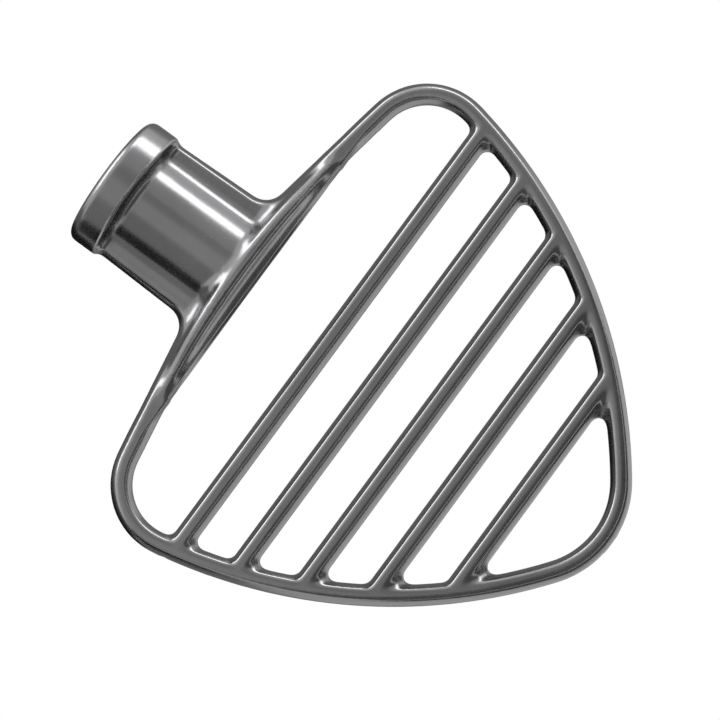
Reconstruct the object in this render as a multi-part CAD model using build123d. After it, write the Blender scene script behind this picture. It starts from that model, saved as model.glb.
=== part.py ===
from build123d import *
import os
from math import atan2, cos, degrees, hypot, radians, sin, tan

# Pastry beater for a stand mixer, one steel casting, in mm.
# The origin is the middle of the bore's mouth, at the foot of its lead-in, where its straight wall begins.
# +Z is up out of the bore, +X across the frame, -Y in front. A level is a depth below the collar's top.

# The shaft and its cross pin, which the bore and the bayonet track take.
shaft_diameter = 12.7
shaft_clearance = 0.15
pin_diameter = 4.8
pin_clearance = 0.25
pin_reach = 8.8

# Bore and bayonet track.
bore_depth = 33.0
bore_lead_in = 0.8
pin_level = 17.0
pin_turn = 36.0
pin_seat_rise = 2.0

# Hub: a collar on a round core, with a web on either side of the core in line with the frame.
collar_diameter = 36.0
collar_height = 8.5
collar_top_round = 2.2
collar_foot_round = 0.5
core_diameter = 24.0
core_top_round = 2.5
web_inset = 0.3
web_round = 3.5
least_flat = 0.3

# Outline of the frame, which is a spade of tangent arcs.
frame_width = 140.4
frame_foot = 156.8
frame_depth = 8.0
arm_foot = 43.4
arm_droop = 9.85
corner_radius = 18.8
corner_drop = 18.2
side_lean = 10.65
tip_radius = 26.5
flare_radius = 5.3

# Shoulders: the arms deepen towards the hub, below a spine that the frame forms along their top.
shoulder_height = 4.2
shoulder_lip = 1.0
shoulder_stop = 4.6
spine_height = 2.2
shoulder_sink = 1.0
shoulder_round = 1.8

# Rim and bars. Their sides are drafted from a parting line half-way through the depth, as castings are.
rim_width = 5.6
bar_count = 5
bar_height = 5.6
first_bar_drop = 7.8
tip_window = 16.6
window_corner = 1.8
side_draft = 1.4
edge_round = 0.9
largest_draft_share = 0.25
largest_round_share = 0.45

# Sizes that follow from those above.
bore_radius = shaft_diameter / 2 + shaft_clearance
track_width = pin_diameter + 2 * pin_clearance
track_reach = pin_reach + pin_clearance
collar_radius = collar_diameter / 2
core_radius = core_diameter / 2
web_edge = collar_radius - web_inset
corner_level = arm_foot + corner_drop
shoulder_top = arm_foot - shoulder_height
shoulder_edge = core_radius + shoulder_lip
half_depth = frame_depth / 2
least_width = min(rim_width, bar_height)
frame_draft = min(side_draft, largest_draft_share * least_width)
frame_round = min(edge_round, largest_round_share * min(least_width - 2 * frame_draft, half_depth))


def along(start, direction, length):
    """Point at a length along a direction from a start point."""
    return (start[0] + direction[0] * length, start[1] + direction[1] * length)


def towards(start, end):
    """Unit direction from one point to another."""
    run = hypot(end[0] - start[0], end[1] - start[1])
    return ((end[0] - start[0]) / run, (end[1] - start[1]) / run)


def mirrored(point):
    """The same point on the other side of the hub's axis."""
    return (-point[0], point[1])


def arc_about(centre, start, end):
    """Shorter arc about a centre from one point to another."""
    halfway = ((start[0] + end[0]) / 2, (start[1] + end[1]) / 2)
    radius = hypot(start[0] - centre[0], start[1] - centre[1])
    return ThreePointArc(start, along(centre, towards(centre, halfway), radius), end)


def round_corner(face, point, radius):
    """Face with the corner nearest a point rounded."""
    corner = face.vertices().sort_by_distance((point[0], point[1], 0))[0]
    return fillet(corner, radius)


# Circles of the outline's right half, as (x, z). The side's circle touches the corner's and the tip's.
corner_centre = (frame_width / 2 - corner_radius, -corner_level)
tip_centre = (0.0, tip_radius - frame_foot)
lean = (cos(radians(side_lean)), -sin(radians(side_lean)))
rise = corner_centre[1] - tip_centre[1]
reach_along_lean = corner_centre[0] * lean[0] + rise * lean[1]
corner_square = corner_centre[0]**2 + rise**2 + 2 * corner_radius * reach_along_lean + corner_radius**2
side_radius = (corner_square - tip_radius**2) / (2 * (reach_along_lean + corner_radius - tip_radius))
side_centre = along(corner_centre, lean, corner_radius - side_radius)
tip_turn = towards(side_centre, tip_centre)
arm_normal = (sin(radians(arm_droop)), cos(radians(arm_droop)))
arm_corner = along(corner_centre, arm_normal, corner_radius)


def arm_line(x):
    """Height of the arms' straight top edge at a distance from the hub's axis."""
    return arm_corner[1] + (arm_corner[0] - x) * tan(radians(arm_droop))


def rim_arcs(inset, corner_start):
    """Corner and side arcs of the right rim at an inset from its edge, and the side's lower end."""
    corner_end = along(corner_centre, lean, corner_radius - inset)
    side_end = along(side_centre, tip_turn, side_radius - inset)
    corner_arc = arc_about(corner_centre, corner_start, corner_end)
    return [corner_arc, arc_about(side_centre, corner_end, side_end)], side_end


# Outer outline: web, flare, arm, corner, side and tip, then the same mirrored.
flare_x = web_edge + flare_radius
flare_centre = (flare_x, arm_line(flare_x) + flare_radius / arm_normal[1])
flare_top = (web_edge, flare_centre[1])
flare_foot = along(flare_centre, arm_normal, -flare_radius)
web_top = (web_edge, -collar_height / 2)
right_rim, side_tip = rim_arcs(0, arm_corner)
flare = arc_about(flare_centre, flare_top, flare_foot)
right = [Line(web_top, flare_top), flare, Line(flare_foot, arm_corner)] + right_rim
outer_edges = right + [mirror(edge, Plane.YZ) for edge in right]
outer_edges.append(ThreePointArc(side_tip, (0, -frame_foot), mirrored(side_tip)))
outer_edges.append(Line(web_top, mirrored(web_top)))
outline = make_face(outer_edges)

# Inner outline: the arms' arched lower edge is tangent to the rim's inner corners.
inner_corner = corner_radius - rim_width
arch_radius = (corner_centre[0]**2 + corner_drop**2 - inner_corner**2) / (2 * (corner_drop - inner_corner))
arch_centre = (0.0, -arm_foot - arch_radius)
arch_end = along(arch_centre, towards(arch_centre, corner_centre), arch_radius)
inner_rim, inner_tip_side = rim_arcs(rim_width, arch_end)
inner_edges = inner_rim + [mirror(edge, Plane.YZ) for edge in inner_rim]
inner_edges.append(ThreePointArc(arch_end, (0, -arm_foot), mirrored(arch_end)))
inner_edges.append(ThreePointArc(inner_tip_side, (0, rim_width - frame_foot), mirrored(inner_tip_side)))
opening = make_face(inner_edges)

# Windows: what the bars leave of the inner outline, with rounded corners where bar and rim meet.
first_bar = corner_level + first_bar_drop
last_bar = frame_foot - rim_width - tip_window - bar_height / 2
bar_pitch = (last_bar - first_bar) / (bar_count - 1)
bar_levels = [first_bar + bar_pitch * i for i in range(bar_count)]
window_tops = [0.0] + [level + bar_height / 2 for level in bar_levels]
window_feet = [level - bar_height / 2 for level in bar_levels] + [frame_foot]
tolerance = 0.001
plate = outline
for window_top, window_foot in zip(window_tops, window_feet):
    strip = Pos(0, -(window_top + window_foot) / 2) * Rectangle(frame_width, window_foot - window_top)
    window = opening & strip
    corners = [v for v in window.vertices() if min(abs(v.Y + window_top), abs(v.Y + window_foot)) < tolerance]
    plate = plate - fillet(corners, window_corner)

# Frame: the plate drawn out from the parting line to either face, with all its edges there rounded.
draft_angle = degrees(atan2(frame_draft, half_depth))
front_half = extrude(Plane.XZ * plate, half_depth, taper=draft_angle)
front_land = front_half.faces().filter_by(Axis.Y).sort_by(Axis.Y)[0]
front_half = fillet(front_land.edges(), frame_round)
frame = front_half + mirror(front_half, Plane.XZ)


def arch_level(x):
    """Height of the arms' arched lower edge at a distance from the hub's axis."""
    return arch_centre[1] + (arch_radius**2 - x**2)**0.5


# Shoulders: a band between an arched top and a foot that rises from the arms' lower edge into the draft.
shoulder_reach = arm_corner[0] - shoulder_stop
shoulder_end = (shoulder_reach, arm_line(shoulder_reach) - spine_height)
shoulder_foot = (shoulder_reach, arch_level(shoulder_reach) + frame_draft)
shoulder_edges = [
    ThreePointArc(mirrored(shoulder_end), (0, -shoulder_top), shoulder_end),
    Line(shoulder_end, shoulder_foot),
    ThreePointArc(shoulder_foot, (0, -arm_foot), mirrored(shoulder_foot)),
    Line(mirrored(shoulder_foot), mirrored(shoulder_end)),
]
band = extrude(Plane.XZ * make_face(shoulder_edges), shoulder_edge, both=True)

# The band is cut to a plan that narrows in an S to just under the frame's faces.
plan_drop = (shoulder_edge - frame_depth / 2 + shoulder_sink) / 2
plan_radius = ((shoulder_reach / 2)**2 + plan_drop**2) / (2 * plan_drop)
plan_turn = (shoulder_reach / 2, shoulder_edge - plan_drop)
plan_end = (shoulder_reach, shoulder_edge - 2 * plan_drop)
taper = RadiusArc(plan_turn, plan_end, -plan_radius)
back = [ThreePointArc(mirrored(plan_turn), (0, shoulder_edge), plan_turn), taper, mirror(taper, Plane.YZ)]
plan_edges = back + [mirror(edge, Plane.XZ) for edge in back]
plan_edges.append(Line(plan_end, (plan_end[0], -plan_end[1])))
plan_edges.append(mirror(plan_edges[-1], Plane.YZ))
shoulders = band & extrude(make_face(plan_edges), -frame_foot)


def long_edges(solid, upper):
    """Front and back edges of the shoulders, along their top or along their foot."""
    found = []
    for edge in solid.edges():
        middle = edge @ 0.5
        across = abs((edge @ 0).X - (edge @ 1).X) < tolerance
        share = abs(middle.X) / shoulder_reach
        halfway = (share * (shoulder_end[1] + shoulder_foot[1]) - (1 - share) * (shoulder_top + arm_foot)) / 2
        if not across and (middle.Z > halfway) == upper:
            found.append(edge)
    return found


least_band = min(shoulder_height, shoulder_end[1] - shoulder_foot[1])
band_round = min(shoulder_round, largest_round_share * least_band)
shoulders = fillet(long_edges(shoulders, True), band_round)
shoulders = fillet(long_edges(shoulders, False), band_round)

# Collar and core, turned in one with the fillet between them.
hub_points = [
    (0, 0),
    (collar_radius, 0),
    (collar_radius, -collar_height),
    (core_radius, -collar_height),
    (core_radius, band_round - arm_foot),
    (0, band_round - arm_foot),
]
section = make_face(Polyline(hub_points, close=True))
section = round_corner(section, hub_points[1], collar_top_round)
section = round_corner(section, hub_points[2], collar_foot_round)
section = round_corner(section, hub_points[3], core_top_round)
hub = revolve(Plane.XZ * section, Axis.Z)

# Fillets between the core and the webs, as large as the webs' flat faces can hold.
web_flat = web_edge - frame_draft - frame_round
fillet_room = (web_flat - least_flat)**2 - core_radius**2 + half_depth**2
web_fillet = min(web_round, fillet_room / (2 * (core_radius - half_depth)))

# They run as a prism from inside the collar into the shoulders.
stem = Circle(core_radius) + Rectangle(2 * web_flat, frame_depth)
meets = [v for v in stem.vertices() if abs(hypot(v.X, v.Y) - core_radius) < tolerance]
stem = fillet(meets, web_fillet)
stem = extrude(Pos(0, 0, web_top[1]) * stem, -(shoulder_top + band_round + web_top[1]))

beater = hub + stem + frame + shoulders

# Blind bore for the shaft, with a lead-in at its mouth.
bore_points = [
    (0, 0),
    (bore_radius + bore_lead_in, 0),
    (bore_radius, -bore_lead_in),
    (bore_radius, -bore_depth),
    (0, -bore_depth),
]
beater = beater - revolve(Plane.XZ * make_face(Polyline(bore_points, close=True)), Axis.Z)

# Bayonet track in the bore's rear wall: a way in for the pin, a turn, and a seat that rises at its end.
pin_end = Circle(track_width / 2)
way_shape = pin_end + Pos(0, pin_level / 2) * Rectangle(track_width, pin_level)
pin_way = extrude(Plane.XZ * Pos(0, -pin_level) * way_shape, -track_reach)
turn_shape = Pos(track_reach / 2, -pin_level) * Rectangle(track_reach, track_width)
pin_path = Rot(0, 0, 90) * revolve(Plane.XZ * turn_shape, Axis.Z, pin_turn)
seat_shape = pin_end + Pos(0, pin_seat_rise) * pin_end
seat_shape = seat_shape + Pos(0, pin_seat_rise / 2) * Rectangle(track_width, pin_seat_rise)
pin_seat = Rot(0, 0, pin_turn) * extrude(Plane.XZ * Pos(0, -pin_level) * seat_shape, -track_reach)
beater = beater - pin_way - pin_path - pin_seat

# The finished casting is lifted from the collar's top to the origin at the foot of the lead-in.
beater = Pos(0, 0, bore_lead_in) * beater

os.makedirs("parts", exist_ok=True)
export_step(beater, "parts/beater.step")
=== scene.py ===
"""Pastry beater: one steel casting, made by Geometry Nodes from its sizes, in dark polished steel."""

import logging
import math
from dataclasses import dataclass, field
from enum import Enum
from typing import Any, Sequence

import bpy
from mathutils import Matrix, Vector


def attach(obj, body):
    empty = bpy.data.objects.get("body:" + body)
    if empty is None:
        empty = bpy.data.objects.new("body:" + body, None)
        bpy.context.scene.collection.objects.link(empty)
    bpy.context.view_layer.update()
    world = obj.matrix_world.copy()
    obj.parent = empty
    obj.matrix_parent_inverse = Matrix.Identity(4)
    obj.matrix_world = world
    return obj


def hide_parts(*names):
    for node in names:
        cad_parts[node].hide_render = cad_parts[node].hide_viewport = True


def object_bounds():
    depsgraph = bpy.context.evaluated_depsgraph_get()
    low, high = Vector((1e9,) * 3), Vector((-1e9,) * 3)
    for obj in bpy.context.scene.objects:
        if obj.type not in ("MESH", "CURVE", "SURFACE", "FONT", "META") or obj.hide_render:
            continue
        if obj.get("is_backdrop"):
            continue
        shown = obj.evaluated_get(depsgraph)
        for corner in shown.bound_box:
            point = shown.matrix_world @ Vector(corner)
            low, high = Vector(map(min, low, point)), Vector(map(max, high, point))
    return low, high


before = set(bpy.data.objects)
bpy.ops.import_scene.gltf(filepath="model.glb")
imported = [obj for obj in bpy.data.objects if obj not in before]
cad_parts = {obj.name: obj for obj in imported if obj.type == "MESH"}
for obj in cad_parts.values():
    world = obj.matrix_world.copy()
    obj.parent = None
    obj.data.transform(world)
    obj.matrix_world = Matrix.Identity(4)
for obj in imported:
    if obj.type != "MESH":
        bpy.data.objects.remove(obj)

LOG = logging.getLogger("pastry_beater")
MM = 0.001
NODE = "beater"
BODY = "root"
# Name of the attribute that says how far a point stands proud of the points round it.
PROUD = "proud"
# How far the casting's top stays under the solid's.
SKIN = 0.01 * MM
FEWEST_ARC_STEPS = 4

Point = tuple[float, float]
Place = tuple[float, float, float]
Colour = tuple[float, float, float, float]
Wire = bpy.types.NodeSocket

WHITE: Colour = (1.0, 1.0, 1.0, 1.0)
BLACK: Colour = (0.0, 0.0, 0.0, 1.0)


class GridStep(Enum):
    """How finely the casting is cut into voxels, in metres."""

    FINE = 0.4 * MM
    TRIAL = 0.7 * MM


class Socket(Enum):
    """Kinds of input that the casting's node tree has."""

    OBJECT = "NodeSocketObject"
    LENGTH = "NodeSocketFloat"
    COUNT = "NodeSocketInt"
    MATERIAL = "NodeSocketMaterial"


def unit(angle: float) -> Point:
    """Unit direction at an angle from +X, in radians."""
    return (math.cos(angle), math.sin(angle))


def along(start: Point, direction: Point, length: float) -> Point:
    """Point at a length along a direction from a start point."""
    return (start[0] + direction[0] * length, start[1] + direction[1] * length)


def angle_of(direction: Point) -> float:
    """Angle of a direction from +X, in radians."""
    return math.atan2(direction[1], direction[0])


def mirrored(points: Sequence[Point]) -> list[Point]:
    """The same points on the other side of the hub's axis, in the opposite order."""
    return [(-x, z) for x, z in reversed(points)]


def bow_radius(run: float, fall: float) -> float:
    """Radius of an arc that starts level and falls by so much over a run."""
    return (run**2 + fall**2) / (2 * fall)


def bow_fall(radius: float, run: float) -> float:
    """How far an arc that starts level has fallen after a run."""
    return radius - math.sqrt(radius**2 - run**2)


def arc(centre: Point, radius: float, start: float, end: float, step: float = 0.7 * MM) -> list[Point]:
    """Points along an arc.

    Args:
        centre: the arc's centre.
        radius: its radius.
        start: the angle that it starts at, in radians.
        end: the angle that it ends at, larger or smaller.
        step: about how far apart the points are.

    Returns:
        The points, both ends included.
    """
    count = max(FEWEST_ARC_STEPS, math.ceil(abs(end - start) * radius / step))
    angles = [start + (end - start) * i / count for i in range(count + 1)]
    return [along(centre, unit(angle), radius) for angle in angles]


def rectangle(width: float, height: float) -> list[Point]:
    """Corners of a rectangle about its own middle, anticlockwise from its lower left."""
    across, up = width / 2, height / 2
    return [(-across, -up), (across, -up), (across, up), (-across, up)]


def round_rectangle(half_width: float, half_height: float, radius: float, steps: int = 6) -> list[Point]:
    """Points round a rectangle with rounded corners, about its own middle.

    Args:
        half_width: half its width.
        half_height: half its height.
        radius: the radius of its corners.
        steps: how many steps each corner has.

    Returns:
        The points, anticlockwise from its right-hand side.
    """
    quarter = math.pi / 2
    points: list[Point] = []
    for turn, (side, up) in enumerate(((1, 1), (-1, 1), (-1, -1), (1, -1))):
        centre = (side * (half_width - radius), up * (half_height - radius))
        angles = [turn * quarter + quarter * i / steps for i in range(steps + 1)]
        points += [along(centre, unit(angle), radius) for angle in angles]
    return points


def solid(name: str, verts: Sequence[Place], faces: Sequence[Sequence[int]]) -> bpy.types.Object:
    """A body or a plain sheet in the row's frame.

    Args:
        name: its name.
        verts: its corners.
        faces: its faces, as corner numbers.

    Returns:
        The object, linked to the scene.
    """
    mesh = bpy.data.meshes.new(name)
    mesh.from_pydata(verts, [], faces)
    mesh.update()
    body = bpy.data.objects.new(name, mesh)
    bpy.context.scene.collection.objects.link(body)
    return body


def stacked(name: str, rings: Sequence[Sequence[Place]]) -> bpy.types.Object:
    """A closed body skinned over a row of rings with equal numbers of points.

    Args:
        name: the body's name.
        rings: the rings, from one end of the body to the other.

    Returns:
        The body, with a face across each end.
    """
    size = len(rings[0])
    last = (len(rings) - 1) * size
    faces: list[list[int]] = []
    for base in range(0, last, size):
        for i in range(size):
            nxt = (i + 1) % size
            faces.append([base + i, base + nxt, base + size + nxt, base + size + i])
    faces.append(list(range(size - 1, -1, -1)))
    faces.append([last + i for i in range(size)])
    return solid(name, [place for ring in rings for place in ring], faces)


def turned(name: str, section: Sequence[Point], segments: int = 180) -> bpy.types.Object:
    """A body turned about the hub's axis.

    Args:
        name: the body's name.
        section: (radius, height) from the axis at one end to the axis at the other, ends left out.
        segments: how many steps the turn has.

    Returns:
        The body.
    """
    turns = [unit(2 * math.pi * i / segments) for i in range(segments)]
    return stacked(name, [[(radius * c, radius * s, z) for c, s in turns] for radius, z in section])


def extruded(
    name: str, outline: Sequence[Point], near: float, far: float, turn: float = 0.0
) -> bpy.types.Object:
    """A body with an outline in the plane of the frame, drawn out along its depth.

    Args:
        name: the body's name.
        outline: (x, z) points round it.
        near: where its front lies on the depth axis.
        far: where its back lies.
        turn: a turn about the hub's axis, in radians.

    Returns:
        The body.
    """
    spin = Matrix.Rotation(turn, 3, "Z")
    rings = [[tuple(spin @ Vector((x, depth, z))) for x, z in outline] for depth in (near, far)]
    return stacked(name, rings)


class NodeBench:
    """A node tree under construction, with one call to add a node and feed its sockets."""

    # Places of the colour sockets on a Mix node, whose names are shared by its other kinds.
    COLOUR_A = 6
    COLOUR_B = 7
    COLOUR_OUT = 2

    def __init__(self, tree: bpy.types.NodeTree) -> None:
        """Start on a tree."""
        self.tree = tree

    def add(self, kind: str, feeds: dict[str | int, Any] | None = None, **settings: Any) -> bpy.types.Node:
        """Add a node.

        Args:
            kind: the node's type.
            feeds: socket names or numbers, each with a value, an output socket or a list of output sockets.
            settings: the node's own properties.

        Returns:
            The node.
        """
        node = self.tree.nodes.new(kind)
        for name, value in settings.items():
            setattr(node, name, value)
        for key, feed in (feeds or {}).items():
            for source in feed if isinstance(feed, list) else [feed]:
                if isinstance(source, Wire):
                    self.tree.links.new(source, node.inputs[key])
                else:
                    node.inputs[key].default_value = source
        return node

    def math(self, operation: str, *values: Any) -> Wire:
        """Result of a Math node on one, two or three values or sockets."""
        return self.add("ShaderNodeMath", dict(enumerate(values)), operation=operation).outputs[0]

    def colour(self, share: Wire, first: Wire | Colour, second: Wire | Colour) -> Wire:
        """Colour that goes from a first to a second with a share from 0 to 1."""
        feeds = {"Factor": share, self.COLOUR_A: first, self.COLOUR_B: second}
        return self.add("ShaderNodeMix", feeds, data_type="RGBA").outputs[self.COLOUR_OUT]


@dataclass(frozen=True)
class HubSizes:
    """Sizes of the hub, its bore and its bayonet track; a level is a depth below the collar's top.

    The web start is how far down the collar the webs begin, as a share of its height. The pole is the
    radius at which a turned body's ends stop short of its axis. The cut clearance is how far a cutter
    reaches past the collar's top, and the steps are about how far apart the small arcs' points are.
    """

    collar_radius: float = 18.0 * MM
    collar_height: float = 8.5 * MM
    collar_top_round: float = 2.2 * MM
    collar_foot_round: float = 0.6 * MM
    core_radius: float = 12.0 * MM
    web_edge: float = 17.7 * MM
    web_start: float = 0.6
    web_fillet: float = 3.5 * MM
    bore_radius: float = 6.5 * MM
    bore_depth: float = 33.0 * MM
    bore_lead_in: float = 0.8 * MM
    track_width: float = 5.3 * MM
    track_reach: float = 9.05 * MM
    pin_level: float = 17.0 * MM
    pin_turn: float = math.radians(36.0)
    pin_seat_rise: float = 2.0 * MM
    pole: float = 0.2 * MM
    cut_clearance: float = 1.0 * MM
    round_step: float = 0.2 * MM
    foot_round_step: float = 0.1 * MM
    pin_turn_step: float = 0.3 * MM


@dataclass(frozen=True)
class SpadeSizes:
    """Sizes of the flat frame and its bars; a foot is a depth below the collar's top.

    The parting round takes off the sharp line at mid-depth where the drafted sides meet, and the parting
    trim draws the section out by what that takes.
    """

    width: float = 140.4 * MM
    foot: float = 156.8 * MM
    depth: float = 8.0 * MM
    arm_foot: float = 43.4 * MM
    arm_droop: float = math.radians(9.85)
    corner_radius: float = 18.8 * MM
    corner_drop: float = 18.2 * MM
    side_lean: float = math.radians(10.65)
    tip_radius: float = 26.5 * MM
    flare_radius: float = 5.3 * MM
    rim_width: float = 5.6 * MM
    side_draft: float = 1.4 * MM
    edge_round: float = 0.9 * MM
    parting_round: float = 4.0 * MM
    parting_trim: float = 0.39 * MM
    bar_count: int = 5
    first_bar_drop: float = 7.8 * MM
    tip_window: float = 16.6 * MM
    bar_fillet: float = 2.0 * MM


@dataclass(frozen=True)
class ShoulderSizes:
    """Sizes of the deepened stretch of the arms beside the hub.

    It stops short of the arms' ends, where it sinks below their faces, and its top ends at the spine's
    height below theirs. A station is about how far apart its sections are.
    """

    height: float = 4.2 * MM
    half_depth: float = 13.0 * MM
    stop: float = 4.6 * MM
    spine_height: float = 2.2 * MM
    sink: float = 1.0 * MM
    edge_round: float = 1.8 * MM
    station: float = 0.8 * MM


@dataclass
class Spade:
    """Centre lines of the frame: a spade of tangent arcs, with an arch between its two corners."""

    sizes: SpadeSizes
    web_edge: float
    top: float
    web_top: float
    inset: float = field(init=False)
    lean: Point = field(init=False)
    arm_normal: Point = field(init=False)
    corner: Point = field(init=False)
    arm_end: Point = field(init=False)
    tip: Point = field(init=False)
    side_radius: float = field(init=False)
    side: Point = field(init=False)
    arch_radius: float = field(init=False)
    arch: Point = field(init=False)

    def __post_init__(self) -> None:
        """Work out the arcs' centres and radii, as (x, z)."""
        s = self.sizes
        self.inset = s.rim_width / 2
        self.lean = unit(-s.side_lean)
        self.arm_normal = unit(math.pi / 2 - s.arm_droop)
        self.corner = (s.width / 2 - s.corner_radius, self.top - s.arm_foot - s.corner_drop)
        self.arm_end = along(self.corner, self.arm_normal, s.corner_radius)
        self.tip = (0.0, self.top - s.foot + s.tip_radius)
        # The corner's circle and the tip's both lie inside the side's wide circle and touch it.
        rise = self.corner[1] - self.tip[1]
        reach = self.corner[0] * self.lean[0] + rise * self.lean[1]
        square = self.corner[0]**2 + rise**2 + 2 * s.corner_radius * reach + s.corner_radius**2
        self.side_radius = (square - s.tip_radius**2) / (2 * (reach + s.corner_radius - s.tip_radius))
        self.side = along(self.corner, self.lean, s.corner_radius - self.side_radius)
        # The arch touches both corners' inner circles and passes through the arms' foot on the axis.
        inner = s.corner_radius - s.rim_width
        square = self.corner[0]**2 + s.corner_drop**2 - inner**2
        self.arch_radius = square / (2 * (s.corner_drop - inner))
        self.arch = (0.0, self.top - s.arm_foot - self.arch_radius)

    def arm_line(self, x: float) -> float:
        """Height of the arms' straight top edge at a distance from the hub's axis."""
        return self.arm_end[1] + (self.arm_end[0] - x) * math.tan(self.sizes.arm_droop)

    def arch_line(self, x: float) -> float:
        """Height of the arms' arched lower edge at a distance from the hub's axis."""
        return self.arch[1] + math.sqrt(self.arch_radius**2 - x**2)

    def arm_points(self) -> list[Point]:
        """Centre line of the right arm.

        Returns:
            Points from the right web down the flare to where the arm's straight top edge begins.
        """
        s = self.sizes
        flare_x = self.web_edge + s.flare_radius
        flare = (flare_x, self.arm_line(flare_x) + s.flare_radius / math.cos(s.arm_droop))
        foot = angle_of(self.arm_normal) + math.pi
        bend = arc(flare, s.flare_radius + self.inset, math.pi, foot)
        return [(self.web_edge - self.inset, self.web_top)] + bend

    def rim_points(self) -> list[Point]:
        """Centre line of the whole rim.

        Returns:
            Points of a closed loop through the webs, arms, corners, sides and tip.
        """
        s = self.sizes
        lean = angle_of(self.lean)
        turn = angle_of((self.tip[0] - self.side[0], self.tip[1] - self.side[1]))
        right = self.arm_points()
        right += arc(self.corner, s.corner_radius - self.inset, angle_of(self.arm_normal), lean)
        right += arc(self.side, self.side_radius - self.inset, lean, turn)[1:]
        right += arc(self.tip, s.tip_radius - self.inset, turn, -math.pi / 2)[1:]
        return right + mirrored(right)[1:]

    def arch_points(self) -> list[Point]:
        """Centre line of the arms' lower edge, from the right corner to the left."""
        end = angle_of((self.corner[0], self.corner[1] - self.arch[1]))
        return arc(self.arch, self.arch_radius + self.inset, end, math.pi - end)

    def web_points(self) -> list[Point]:
        """Outline of the flat web between the two centre lines."""
        right = self.arm_points()
        return right + self.arch_points() + mirrored(right)

    def bar_levels(self) -> tuple[float, float]:
        """Where the bars lie.

        Returns:
            The height of the first bar and the step from bar to bar.
        """
        s = self.sizes
        first = self.corner[1] - s.first_bar_drop
        last = self.top - s.foot + s.rim_width + s.tip_window + self.inset
        return first, (last - first) / (s.bar_count - 1)


@dataclass(frozen=True)
class Grain:
    """One scale of noise in a surface, with its bump where it has one."""

    scale: float
    detail: float
    strength: float = 0.0
    distance: float = 0.0


@dataclass(frozen=True)
class SteelFinish:
    """Dark polished cast steel: a painted highlight lightens its proud edges, and painted shade darkens its
    hollow corners, which are also rougher.
    """

    name: str = "polished_cast_steel"
    pale: Colour = (0.31, 0.31, 0.315, 1.0)
    dark: Colour = (0.24, 0.24, 0.245, 1.0)
    # Painted highlight: the lighter colour that proud edges take.
    edge: Colour = (0.37, 0.37, 0.375, 1.0)
    # Painted shade: the darker colour that hollow corners take.
    corner: Colour = (0.17, 0.17, 0.172, 1.0)
    edge_highlight_from: Point = (0.18, 0.42)
    corner_shade_and_dullness_from: Point = (0.08, 0.30)
    corner_dullness: float = 0.10
    gloss_from: Point = (0.3, 0.7)
    roughness: Point = (0.18, 0.30)
    clouds: Grain = Grain(55.0, 4.0)
    waves: Grain = Grain(90.0, 1.0, 0.35, 0.4 * MM)
    marks: Grain = Grain(1.0, 3.0, 0.10, 0.04 * MM)
    mark_stretch: Place = (260.0, 2600.0, 2600.0)
    pits: Grain = Grain(900.0, 2.0, 0.08, 0.08 * MM)

    def _noise(self, bench: NodeBench, place: Wire, grain: Grain) -> Wire:
        """Noise from 0 to 1 at a grain's scale."""
        feeds = {"Vector": place, "Scale": grain.scale, "Detail": grain.detail}
        return bench.add("ShaderNodeTexNoise", feeds).outputs["Fac"]

    def _share(self, bench: NodeBench, value: Wire, reach: Point, ends: Point = (0.0, 1.0)) -> Wire:
        """Where a value lies in a reach, taken to a pair of ends.

        Args:
            bench: the material's bench.
            value: the value.
            reach: what is taken to the first end and to the second.
            ends: the two ends.

        Returns:
            The result, held between the ends.
        """
        feeds = {"Value": value, "From Min": reach[0], "From Max": reach[1]}
        feeds |= {"To Min": ends[0], "To Max": ends[1]}
        return bench.add("ShaderNodeMapRange", feeds).outputs[0]

    def _bumps(self, bench: NodeBench, layers: Sequence[tuple[Wire, Grain]]) -> Wire:
        """Normal of a surface with layers of bump.

        Args:
            bench: the material's bench.
            layers: each layer's noise and grain, from the widest to the finest.

        Returns:
            The normal.
        """
        feeds: dict[str, Any] = {}
        for height, grain in layers:
            feeds |= {"Height": height, "Strength": grain.strength, "Distance": grain.distance}
            feeds["Normal"] = bench.add("ShaderNodeBump", feeds).outputs[0]
        return feeds["Normal"]

    def build(self) -> bpy.types.Material:
        """Make the material.

        Returns:
            Steel with clouded tone, polish marks, casting waves, fine pits, a painted highlight on its
            edges, and painted shade and more roughness in its corners.
        """
        material = bpy.data.materials.new(self.name)
        material.use_nodes = True
        bench = NodeBench(material.node_tree)
        shader = material.node_tree.nodes["Principled BSDF"]
        place = bench.add("ShaderNodeTexCoord").outputs["Object"]
        stretched = bench.add("ShaderNodeMapping", {"Vector": place, "Scale": self.mark_stretch}).outputs[0]
        clouds = self._noise(bench, place, self.clouds)
        marks = self._noise(bench, stretched, self.marks)
        waves = self._noise(bench, place, self.waves)
        pits = self._noise(bench, place, self.pits)
        proud = bench.add("ShaderNodeAttribute", attribute_name=PROUD).outputs["Fac"]
        # How far each point stands proud sets where the painted highlight lightens edges and where painted
        # shade darkens corners.
        edge_highlight_share = self._share(bench, proud, self.edge_highlight_from)
        corner_shade_and_dullness_share = self._share(bench, bench.math("MULTIPLY", proud, -1.0), self.corner_shade_and_dullness_from)
        tone = bench.colour(clouds, self.dark, self.pale)
        # Painted highlight on the edges, then painted shade in the corners.
        tone = bench.colour(edge_highlight_share, tone, self.edge)
        tone = bench.colour(corner_shade_and_dullness_share, tone, self.corner)
        mean = bench.math("MULTIPLY", bench.math("ADD", marks, clouds), 0.5)
        rough = self._share(bench, mean, self.gloss_from, self.roughness)
        rough = bench.math("MULTIPLY_ADD", corner_shade_and_dullness_share, self.corner_dullness, rough)
        normal = self._bumps(bench, ((waves, self.waves), (marks, self.marks), (pits, self.pits)))
        for name, source in (("Base Color", tone), ("Roughness", rough), ("Normal", normal)):
            material.node_tree.links.new(source, shader.inputs[name])
        shader.inputs["Metallic"].default_value = 1.0
        return material


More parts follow.
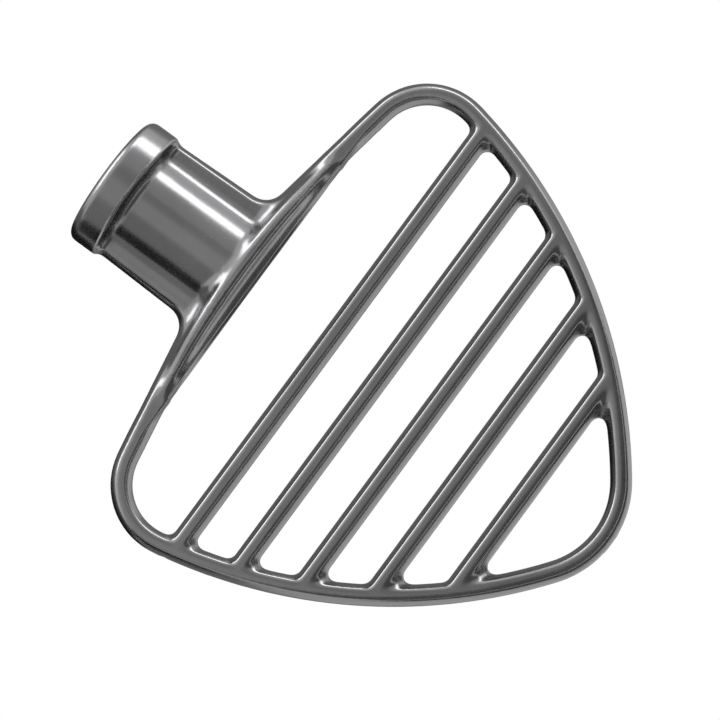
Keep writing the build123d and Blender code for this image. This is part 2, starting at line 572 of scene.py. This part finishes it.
@dataclass
class CastingTree:
    """Geometry Nodes that sweep the rim, repeat the bars, and join them to the hub with cast fillets.

    A distance grid's band is so many voxels either side of its surface. A point is marked proud against
    the points that the mark's reach takes in, and the whole surface is eased a little to take off the
    grid's steps.
    """

    STEM = ("Web Plate", "Shoulders", "Core")
    CUTTERS = ("Bore", "Pin Way", "Pin Turn", "Pin Seat")
    BODIES = ("Centre Lines", *STEM, "Collar", *CUTTERS)
    LENGTHS = (
        "Section Width", "Section Depth", "Side Draft", "Edge Round", "Parting Round",
        "First Bar", "Bar Step", "Side X", "Side Z", "Side Radius",
        "Web Fillet", "Bar Fillet", "Grid Step",
    )

    name: str = "casting"
    band: int = 4
    spare_band: float = 3.0
    section_corners: int = 6
    round_steps: int = 6
    ease_reach: int = 1
    mark_reach: int = 8
    tree: bpy.types.NodeTree = field(init=False)
    bench: NodeBench = field(init=False)
    given: Any = field(init=False)
    sockets: dict[str, str] = field(init=False, default_factory=dict)

    def __post_init__(self) -> None:
        """Make the tree with its inputs, then its nodes."""
        self.tree = bpy.data.node_groups.new(self.name, "GeometryNodeTree")
        self.bench = NodeBench(self.tree)
        for name in self.BODIES:
            self._declare(name, Socket.OBJECT)
        for name in self.LENGTHS:
            self._declare(name, Socket.LENGTH)
        self._declare("Bar Count", Socket.COUNT)
        self._declare("Steel", Socket.MATERIAL)
        self.tree.interface.new_socket("Geometry", in_out="OUTPUT", socket_type="NodeSocketGeometry")
        self.given = self.bench.add("NodeGroupInput").outputs
        self._build()

    def _declare(self, name: str, kind: Socket) -> None:
        """Add a named input and note its identifier."""
        made = self.tree.interface.new_socket(name, in_out="INPUT", socket_type=kind.value)
        self.sockets[name] = made.identifier

    def _geometry_of(self, name: str) -> Wire:
        """Geometry of the object in a named input."""
        return self.bench.add("GeometryNodeObjectInfo", {"Object": self.given[name]}).outputs["Geometry"]

    def _position(self) -> Wire:
        """Where a point lies."""
        return self.bench.add("GeometryNodeInputPosition").outputs[0]

    def _axes_of(self, place: Wire) -> Any:
        """A place's X, Y and Z."""
        return self.bench.add("ShaderNodeSeparateXYZ", {0: place}).outputs

    def _place(self, **axes: Any) -> Wire:
        """A place from its X, Y and Z, each 0 where it isn't given."""
        return self.bench.add("ShaderNodeCombineXYZ", axes).outputs[0]

    def _eased(self, reach: int) -> Wire:
        """Where a point lies once it has been drawn so many times towards the points round it."""
        feeds = {"Value": self._position(), "Iterations": reach}
        return self.bench.add("GeometryNodeBlurAttribute", feeds, data_type="FLOAT_VECTOR").outputs[0]

    def _moved(self, geometry: Wire, place: Wire) -> Wire:
        """Geometry with its points moved to a place."""
        feeds = {"Geometry": geometry, "Position": place}
        return self.bench.add("GeometryNodeSetPosition", feeds).outputs[0]

    def _grid(self, mesh: Wire, band: Wire | int) -> Wire:
        """Distance grid of a closed mesh, with a band of so many voxels either side of its surface."""
        feeds = {"Mesh": mesh, "Voxel Size": self.given["Grid Step"], "Band Width": band}
        return self.bench.add("GeometryNodeMeshToSDFGrid", feeds).outputs[0]

    def _surface(self, grid: Wire, offset: Wire | float) -> Wire:
        """Mesh at an offset from a distance grid's surface."""
        return self.bench.add("GeometryNodeGridToMesh", {"Grid": grid, "Threshold": offset}).outputs[0]

    def _band_for(self, fillet: Wire) -> Wire:
        """Voxels that a band needs to hold a fillet's radius."""
        voxels = self.bench.math("DIVIDE", fillet, self.given["Grid Step"])
        return self.bench.math("ADD", voxels, self.spare_band)

    def _blended(self, meshes: list[Wire], fillet: Wire) -> Wire:
        """Join closed meshes with fillets in their inner corners, by growing the whole and shrinking it.

        Args:
            meshes: the meshes to join.
            fillet: the fillet's radius.

        Returns:
            The joined mesh.
        """
        band = self._band_for(fillet)
        grids = [self._grid(mesh, band) for mesh in meshes]
        joined = self.bench.add("GeometryNodeSDFGridBoolean", {1: grids}, operation="UNION").outputs[0]
        grown = self._grid(self._surface(joined, fillet), band)
        return self._surface(grown, self.bench.math("MULTIPLY", fillet, -1.0))

    def _section(self) -> Wire:
        """Drafted section that the rim and the bars share.

        Returns:
            A closed curve with six rounded corners: two on the parting line and four on the faces.
        """
        given, bench = self.given, self.bench
        half_width = bench.math("MULTIPLY", given["Section Width"], 0.5)
        half_depth = bench.math("MULTIPLY", given["Section Depth"], 0.5)
        half_land = bench.math("SUBTRACT", half_width, given["Side Draft"])
        feeds = {"Resolution": self.section_corners, "Radius": 1.0}
        six = bench.add("GeometryNodeCurvePrimitiveCircle", feeds, mode="RADIUS").outputs[0]
        # The first corner lies on the parting line, and so does the one opposite.
        number = bench.add("GeometryNodeInputIndex").outputs[0]
        turn = bench.math("MODULO", number, self.section_corners / 2)
        at_face = bench.math("GREATER_THAN", turn, 0.5)
        corner = self._axes_of(self._position())
        width = bench.add("ShaderNodeMix", {"Factor": at_face, "A": half_width, "B": half_land}).outputs[0]
        across = bench.math("MULTIPLY", bench.math("SIGN", corner["X"]), width)
        side = bench.math("MULTIPLY", bench.math("SIGN", corner["Y"]), at_face)
        deep = bench.math("MULTIPLY", side, half_depth)
        drafted = self._moved(six, self._place(X=across, Y=deep))
        feeds = {"Factor": at_face, "A": given["Parting Round"], "B": given["Edge Round"]}
        radius = bench.add("ShaderNodeMix", feeds).outputs[0]
        feeds = {"Curve": drafted, "Radius": radius, "Count": self.round_steps}
        return bench.add("GeometryNodeFilletCurve", feeds, mode="POLY").outputs[0]

    def _swept(self, curve: Wire, section: Wire) -> Wire:
        """Sweep the section along curves that lie flat.

        Args:
            curve: the curves.
            section: the section.

        Returns:
            The mesh, with caps on open ends.
        """
        level = self.bench.add("GeometryNodeSetCurveNormal", {"Curve": curve}, mode="Z_UP").outputs[0]
        feeds = {"Curve": level, "Profile Curve": section, "Fill Caps": True}
        return self.bench.add("GeometryNodeCurveToMesh", feeds).outputs[0]

    def _bars(self, section: Wire) -> Wire:
        """Level bars, each as long as the spade is wide at its height.

        Args:
            section: the bars' section.

        Returns:
            The bars, lying flat.
        """
        given, bench = self.given, self.bench
        feeds = {
            "Count": given["Bar Count"],
            "Start Location": self._place(Y=given["First Bar"]),
            "Offset": self._place(Y=given["Bar Step"]),
        }
        row = bench.add("GeometryNodeMeshLine", feeds).outputs[0]
        drop = bench.math("SUBTRACT", self._axes_of(self._position())["Y"], given["Side Z"])
        radius_square = bench.math("POWER", given["Side Radius"], 2.0)
        square = bench.math("SUBTRACT", radius_square, bench.math("POWER", drop, 2.0))
        half = bench.math("ADD", bench.math("SQRT", square), given["Side X"])
        ends = {"Start": (-1.0, 0.0, 0.0), "End": (1.0, 0.0, 0.0)}
        line = bench.add("GeometryNodeCurvePrimitiveLine", ends).outputs[0]
        feeds = {
            "Points": row,
            "Instance": self._swept(line, section),
            "Scale": self._place(X=half, Y=1.0, Z=1.0),
        }
        placed = bench.add("GeometryNodeInstanceOnPoints", feeds).outputs[0]
        return bench.add("GeometryNodeRealizeInstances", {"Geometry": placed}).outputs[0]

    def _stood_up(self, flat: Wire) -> Wire:
        """Turn what was made flat into the plane of the frame."""
        feeds = {"Geometry": flat, "Rotation": (math.pi / 2, 0.0, 0.0)}
        return self.bench.add("GeometryNodeTransform", feeds).outputs[0]

    def _marked(self, mesh: Wire) -> Wire:
        """Note on each point how far it stands proud of the points round it.

        Args:
            mesh: the mesh.

        Returns:
            The mesh, with the measure in steps of the grid.
        """
        bench = self.bench
        feeds = {0: self._position(), 1: self._eased(self.mark_reach)}
        rise = bench.add("ShaderNodeVectorMath", feeds, operation="SUBTRACT").outputs[0]
        feeds = {0: rise, 1: bench.add("GeometryNodeInputNormal").outputs[0]}
        proud = bench.add("ShaderNodeVectorMath", feeds, operation="DOT_PRODUCT").outputs["Value"]
        steps = bench.math("DIVIDE", proud, self.given["Grid Step"])
        feeds = {"Geometry": mesh, "Name": PROUD, "Value": steps}
        store = bench.add("GeometryNodeStoreNamedAttribute", feeds, data_type="FLOAT", domain="POINT")
        return store.outputs[0]

    def _build(self) -> None:
        """Lay out the nodes from the centre lines to the finished casting."""
        given, bench = self.given, self.bench
        section = self._section()
        rim = self._stood_up(self._swept(self._geometry_of("Centre Lines"), section))
        bars = self._stood_up(self._bars(section))
        stem = self._blended([rim, *map(self._geometry_of, self.STEM)], given["Web Fillet"])
        blank = self._blended([stem, bars, self._geometry_of("Collar")], given["Bar Fillet"])
        cutters = [self._grid(self._geometry_of(name), self.band) for name in self.CUTTERS]
        feeds = {0: self._grid(blank, self.band), 1: cutters}
        bored = bench.add("GeometryNodeSDFGridBoolean", feeds, operation="DIFFERENCE").outputs[0]
        fair = self._moved(self._surface(bored, 0.0), self._eased(self.ease_reach))
        smooth = bench.add("GeometryNodeSetShadeSmooth", {"Geometry": self._marked(fair)}).outputs[0]
        real = bench.add("GeometryNodeRealizeInstances", {"Geometry": smooth}).outputs[0]
        feeds = {"Geometry": real, "Material": given["Steel"]}
        clad = bench.add("GeometryNodeSetMaterial", feeds).outputs[0]
        bench.add("NodeGroupOutput", {"Geometry": clad})


@dataclass
class Beater:
    """The beater: a collared and bored hub, two shoulders, a spade-shaped rim and its bars, cast in one."""

    top: float
    hub: HubSizes = field(default_factory=HubSizes)
    spade: SpadeSizes = field(default_factory=SpadeSizes)
    shoulder: ShoulderSizes = field(default_factory=ShoulderSizes)
    name: str = "beater_casting"
    most_triangles: int = 150_000
    lines: Spade = field(init=False)

    def __post_init__(self) -> None:
        """Lay out the frame's centre lines from the collar's top."""
        web_top = self.top - self.hub.collar_height * self.hub.web_start
        self.lines = Spade(self.spade, self.hub.web_edge, self.top, web_top)

    def _centre_lines(self) -> bpy.types.Object:
        """The frame's centre lines.

        Returns:
            The rim's closed line and the arms' arch, as flat curves.
        """
        data = bpy.data.curves.new("centre_lines", "CURVE")
        data.dimensions = "3D"
        for points, closed in ((self.lines.rim_points(), True), (self.lines.arch_points(), False)):
            spline = data.splines.new("POLY")
            spline.points.add(len(points) - 1)
            spline.points.foreach_set("co", [value for x, z in points for value in (x, z, 0.0, 1.0)])
            spline.use_cyclic_u = closed
        lines = bpy.data.objects.new("centre_lines", data)
        bpy.context.scene.collection.objects.link(lines)
        return lines

    def _collar(self) -> bpy.types.Object:
        """Collar round the bore's mouth.

        Returns:
            The collar, with rounded edges.
        """
        h = self.hub
        upper = (h.collar_radius - h.collar_top_round, self.top - h.collar_top_round)
        lower = (h.collar_radius - h.collar_foot_round, self.top - h.collar_height + h.collar_foot_round)
        section = [(h.pole, self.top)]
        section += arc(upper, h.collar_top_round, math.pi / 2, 0.0, h.round_step)
        section += arc(lower, h.collar_foot_round, 0.0, -math.pi / 2, h.foot_round_step)
        section += [(h.pole, self.top - h.collar_height)]
        return turned("collar", section)

    def _core(self) -> bpy.types.Object:
        """Round core of the hub.

        Returns:
            The core, from inside the collar down into the shoulders.
        """
        h = self.hub
        foot = self.top - self.spade.arm_foot + self.shoulder.edge_round
        head = self.top - h.collar_height / 2
        section = [(h.pole, head), (h.core_radius, head), (h.core_radius, foot), (h.pole, foot)]
        return turned("core", section)

    def _bore(self) -> bpy.types.Object:
        """What the bore takes out.

        Returns:
            The bore with its lead-in, drawn out past the collar's top.
        """
        h = self.hub
        above = self.top + h.cut_clearance
        mouth = h.bore_radius + h.bore_lead_in + h.cut_clearance
        foot = self.top - h.bore_depth
        section = [(h.pole, above), (mouth, above)]
        section += [(h.bore_radius, self.top - h.bore_lead_in), (h.bore_radius, foot), (h.pole, foot)]
        return turned("bore", section)

    def _pin_track(self) -> dict[str, bpy.types.Object]:
        """What the bayonet track takes out.

        Returns:
            A way in for the pin, a turn, and a seat that rises at its end, by the tree's input names.
        """
        h = self.hub
        half = h.track_width / 2
        level = self.top - h.pin_level
        above = self.top + h.cut_clearance
        foot = arc((0.0, level), half, -math.pi, 0.0, h.round_step)
        head = arc((0.0, level + h.pin_seat_rise), half, 0.0, math.pi, h.round_step)
        way = extruded("pin_way", foot + [(half, above), (-half, above)], 0.0, h.track_reach)
        seat = extruded("pin_seat", foot + head, 0.0, h.track_reach, h.pin_turn)
        rear = math.pi / 2
        fan = [(0.0, 0.0)] + arc((0.0, 0.0), h.track_reach, rear, rear + h.pin_turn, h.pin_turn_step)
        rings = [[(x, y, level + side * half) for x, y in fan] for side in (-1, 1)]
        return {"Pin Way": way, "Pin Turn": stacked("pin_turn", rings), "Pin Seat": seat}

    def _shoulders(self) -> bpy.types.Object:
        """The arms' deepened stretch.

        Returns:
            A row of rounded sections that narrow from the hub in an S, with an arched top and foot.
        """
        s, lines = self.shoulder, self.lines
        reach = lines.arm_end[0] - s.stop
        drop = (s.half_depth - self.spade.depth / 2 + s.sink) / 2
        radius = bow_radius(reach / 2, drop)
        foot = self.top - self.spade.arm_foot
        foot_radius = bow_radius(reach, foot - lines.arch_line(reach) - self.spade.side_draft)
        crown = foot + s.height
        crown_radius = bow_radius(reach, crown - lines.arm_line(reach) + s.spine_height)
        count = math.ceil(reach / s.station)
        rings: list[list[Place]] = []
        for i in range(-count, count + 1):
            x = reach * i / count
            if abs(x) <= reach / 2:
                half_depth = s.half_depth - bow_fall(radius, abs(x))
            else:
                half_depth = s.half_depth - 2 * drop + bow_fall(radius, reach - abs(x))
            upper = crown - bow_fall(crown_radius, x)
            lower = foot - bow_fall(foot_radius, x)
            middle = (upper + lower) / 2
            section = round_rectangle(half_depth, (upper - lower) / 2, s.edge_round)
            rings.append([(x, y, middle + z) for y, z in section])
        return stacked("shoulders", rings)

    def _bodies(self) -> dict[str, bpy.types.Object]:
        """The bodies and lines that the casting is made from.

        Returns:
            The objects, by the names of the tree's inputs.
        """
        half_depth = self.spade.depth / 2
        return {
            "Centre Lines": self._centre_lines(),
            "Web Plate": extruded("web_plate", self.lines.web_points(), -half_depth, half_depth),
            "Shoulders": self._shoulders(),
            "Core": self._core(),
            "Collar": self._collar(),
            "Bore": self._bore(),
            **self._pin_track(),
        }

    def _values(self) -> dict[str, float]:
        """The sizes that the casting is made to.

        Returns:
            The sizes, by the names of the tree's inputs.
        """
        s, lines = self.spade, self.lines
        first, pitch = lines.bar_levels()
        return {
            "Section Width": s.rim_width + 2 * s.parting_trim,
            "Section Depth": s.depth,
            "Side Draft": s.side_draft + s.parting_trim,
            "Edge Round": s.edge_round,
            "Parting Round": s.parting_round,
            "First Bar": first,
            "Bar Step": pitch,
            "Bar Count": s.bar_count,
            "Side X": lines.side[0],
            "Side Z": lines.side[1],
            "Side Radius": lines.side_radius - lines.inset,
            "Web Fillet": self.hub.web_fillet,
            "Bar Fillet": s.bar_fillet,
        }

    def build(self, steel: bpy.types.Material, step: GridStep) -> bpy.types.Object:
        """Cast the beater.

        Args:
            steel: its material.
            step: how finely it is cut.

        Returns:
            The finished piece, a plain mesh at the origin.
        """
        bodies = self._bodies()
        inputs = {**bodies, **self._values(), "Grid Step": step.value, "Steel": steel}
        tree = CastingTree()
        mould = bpy.data.objects.new(self.name + "_mould", bpy.data.meshes.new("mould"))
        bpy.context.scene.collection.objects.link(mould)
        modifier = mould.modifiers.new("casting", "NODES")
        modifier.node_group = tree.tree
        for name, value in inputs.items():
            modifier[tree.sockets[name]] = value
        mesh = self._plain_mesh(mould)
        LOG.info("cast with %d faces", len(mesh.polygons))
        for body in [mould, *bodies.values()]:
            bpy.data.objects.remove(body)
        return self._thinned(mesh)

    @staticmethod
    def _plain_mesh(thing: bpy.types.Object) -> bpy.types.Mesh:
        """What an object's modifiers make of it, as a mesh of its own."""
        graph = bpy.context.evaluated_depsgraph_get()
        return bpy.data.meshes.new_from_object(thing.evaluated_get(graph), depsgraph=graph)

    def _thinned(self, mesh: bpy.types.Mesh) -> bpy.types.Object:
        """The piece with its mesh thinned where it is flat.

        Args:
            mesh: the casting as the grid gives it.

        Returns:
            The piece, under the most triangles that it may have.
        """
        piece = bpy.data.objects.new(self.name, mesh)
        bpy.context.scene.collection.objects.link(piece)
        triangles = sum(len(face.vertices) - 2 for face in mesh.polygons)
        if triangles > self.most_triangles:
            thin = piece.modifiers.new("thin", "DECIMATE")
            thin.ratio = self.most_triangles / triangles
            piece.data = self._plain_mesh(piece)
            piece.modifiers.clear()
            bpy.data.meshes.remove(mesh)
        piece.data.name = self.name
        return piece

    def dress(self, piece: bpy.types.Object) -> None:
        """Seat the piece on the frame, in place of the solid.

        Args:
            piece: the finished piece.
        """
        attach(piece, BODY)
        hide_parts(NODE)


def heading(azimuth: float, elevation: float) -> Vector:
    """Direction seen from the beater.

    Args:
        azimuth: degrees from straight in front towards the beater's +X side.
        elevation: degrees above the level.

    Returns:
        The unit direction.
    """
    turn, rise = math.radians(azimuth), math.radians(elevation)
    return Vector((math.sin(turn) * math.cos(rise), -math.cos(turn) * math.cos(rise), math.sin(rise)))


def facing(place: Vector, target: Vector) -> Matrix:
    """Placement at a point, with the local -Z axis towards a target."""
    return Matrix.Translation(place) @ (target - place).to_track_quat("-Z", "Y").to_matrix().to_4x4()


@dataclass(frozen=True)
class Softbox:
    """A soft lamp that points at the beater, as bright as so many times the white surround."""

    name: str
    azimuth: float
    elevation: float
    distance: float
    width: float
    height: float
    brightness: float

    def build(self, target: Vector) -> None:
        """Hang the lamp.

        Args:
            target: the point that it is turned to.
        """
        data = bpy.data.lights.new(self.name, "AREA")
        data.shape = "RECTANGLE"
        data.size, data.size_y = self.width, self.height
        data.energy = self.brightness * math.pi * self.width * self.height
        lamp = bpy.data.objects.new(self.name, data)
        lamp.matrix_world = facing(target + heading(self.azimuth, self.elevation) * self.distance, target)
        bpy.context.scene.collection.objects.link(lamp)


@dataclass(frozen=True)
class Card:
    """A plain card round the beater, unseen by the camera, that gives the steel a shade to reflect."""

    name: str
    azimuth: float
    elevation: float
    distance: float
    width: float
    height: float
    shade: float

    def build(self, target: Vector) -> None:
        """Stand the card up.

        Args:
            target: the point that it is turned to.
        """
        place = facing(target + heading(self.azimuth, self.elevation) * self.distance, target)
        corners = [tuple(place @ Vector((x, y, 0.0))) for x, y in rectangle(self.width, self.height)]
        card = solid(self.name, corners, [(0, 3, 2, 1)])
        card.data.materials.append(self._shade_material())
        card.visible_camera = False
        card.visible_diffuse = False
        card.visible_shadow = False
        card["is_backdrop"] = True

    def _shade_material(self) -> bpy.types.Material:
        """The card's own even shade.

        Returns:
            A material that shows the shade in reflections and lights nothing else.
        """
        material = bpy.data.materials.new(self.name)
        material.use_nodes = True
        shader = material.node_tree.nodes["Principled BSDF"]
        shader.inputs["Base Color"].default_value = BLACK
        shader.inputs["Specular IOR Level"].default_value = 0.0
        shader.inputs["Emission Color"].default_value = WHITE
        shader.inputs["Emission Strength"].default_value = self.shade
        material.cycles.emission_sampling = "NONE"
        return material


@dataclass
class Studio:
    """Pale floor, soft light and a camera at the photograph's angle.

    The fill is the surround's level as light, on a scale where its white is 1, and the axis is the way
    that the hub points in the picture, across and up.
    """

    middle: Vector
    floor_level: float = -0.30
    floor_size: float = 12.0
    floor_colour: Colour = (0.92, 0.92, 0.92, 1.0)
    floor_roughness: float = 0.9
    fill: float = 0.66
    distance: float = 1.6
    lens: float = 318.0
    far_limit: float = 50.0
    azimuth: float = -3.8
    elevation: float = -4.5
    axis: Point = (-0.808, 0.589)
    softboxes: tuple[Softbox, ...] = (
        Softbox("side_softbox", 78.0, 10.0, 1.2, 0.46, 1.1, 3.8),
        Softbox("top_softbox", 15.0, 72.0, 1.2, 1.2, 0.55, 3.0),
    )
    cards: tuple[Card, ...] = (
        Card("front_card", -18.0, 0.0, 2.0, 1.46, 1.7, 0.60),
        Card("front_middle_card", 14.5, 0.0, 2.0, 0.92, 1.7, 0.40),
        Card("front_left_card", -60.0, 0.0, 2.0, 2.0, 1.7, 0.36),
        Card("front_right_card", 46.0, 0.0, 2.0, 1.3, 1.7, 0.58),
        Card("low_front_card", -3.8, -50.0, 0.27, 0.80, 0.45, 0.15),
        Card("under_card", 0.0, -90.0, 0.21, 0.60, 0.18, 0.12),
        Card("left_card", -105.0, -6.0, 0.9, 0.62, 0.74, 0.01),
        Card("left_rear_card", -145.0, -10.0, 0.9, 0.66, 0.45, 0.30),
        Card("left_back_card", -151.0, 22.0, 0.85, 0.74, 0.55, 0.01),
        Card("left_upper_card", -115.0, 34.0, 0.9, 0.70, 0.70, 0.24),
        Card("back_card", 180.0, 36.0, 1.0, 2.0, 1.40, 0.25),
        Card("low_back_card", 180.0, -14.0, 0.38, 0.5, 0.20, 0.30),
        Card("right_back_card", 140.0, 8.0, 1.6, 1.1, 0.8, 0.35),
    )

    def build_camera(self) -> None:
        """Place the camera in front of the beater, rolled so that the hub lies to the upper left."""
        back = heading(self.azimuth, self.elevation)
        upright = Vector((0.0, 0.0, 1.0))
        upright = (upright - back * upright.dot(back)).normalized()
        across = upright.cross(back)
        left, up = self.axis
        right_axis = across * up + upright * left
        up_axis = upright * up - across * left
        data = bpy.data.cameras.new("camera")
        data.lens = self.lens
        data.clip_end = self.far_limit
        camera = bpy.data.objects.new("camera", data)
        bpy.context.scene.collection.objects.link(camera)
        turn = Matrix((right_axis.normalized(), up_axis.normalized(), back)).transposed()
        camera.matrix_world = Matrix.Translation(self.middle + back * self.distance) @ turn.to_4x4()
        bpy.context.scene.camera = camera

    def build_floor(self) -> None:
        """Lay a wide pale floor under the beater."""
        corners = [(x, y, self.floor_level) for x, y in rectangle(self.floor_size, self.floor_size)]
        floor = solid("floor", corners, [(0, 1, 2, 3)])
        material = bpy.data.materials.new("pale_floor")
        material.use_nodes = True
        shader = material.node_tree.nodes["Principled BSDF"]
        shader.inputs["Base Color"].default_value = self.floor_colour
        shader.inputs["Roughness"].default_value = self.floor_roughness
        shader.inputs["Specular IOR Level"].default_value = 0.0
        floor.data.materials.append(material)
        floor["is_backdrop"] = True

    def build_light(self) -> None:
        """Set a surround that is white to the eye and in reflections, then the softboxes and cards."""
        world = bpy.data.worlds.new("surround")
        world.use_nodes = True
        bench = NodeBench(world.node_tree)
        path = bench.add("ShaderNodeLightPath").outputs
        seen = bench.math("MAXIMUM", path["Is Camera Ray"], path["Is Glossy Ray"])
        seen = bench.math("MAXIMUM", seen, path["Is Transmission Ray"])
        level = bench.math("MULTIPLY_ADD", seen, 1.0 - self.fill, self.fill)
        surround = world.node_tree.nodes["Background"]
        surround.inputs["Color"].default_value = WHITE
        world.node_tree.links.new(level, surround.inputs["Strength"])
        bpy.context.scene.world = world
        for thing in (*self.softboxes, *self.cards):
            thing.build(self.middle)

    def build(self) -> None:
        """Make the floor, the light and the camera."""
        self.build_floor()
        self.build_light()
        self.build_camera()
        bpy.context.scene.view_settings.view_transform = "Standard"


def main() -> None:
    """Build the beater and the studio."""
    logging.basicConfig(level=logging.INFO, format="%(name)s: %(message)s")
    low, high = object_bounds()
    beater = Beater(top=high.z - SKIN)
    step = GridStep.FINE
    piece = beater.build(SteelFinish().build(), step)
    beater.dress(piece)
    LOG.info("%s has %d faces", piece.name, len(piece.data.polygons))
    Studio(middle=(low + high) / 2).build()


if __name__ == "__main__":
    main()
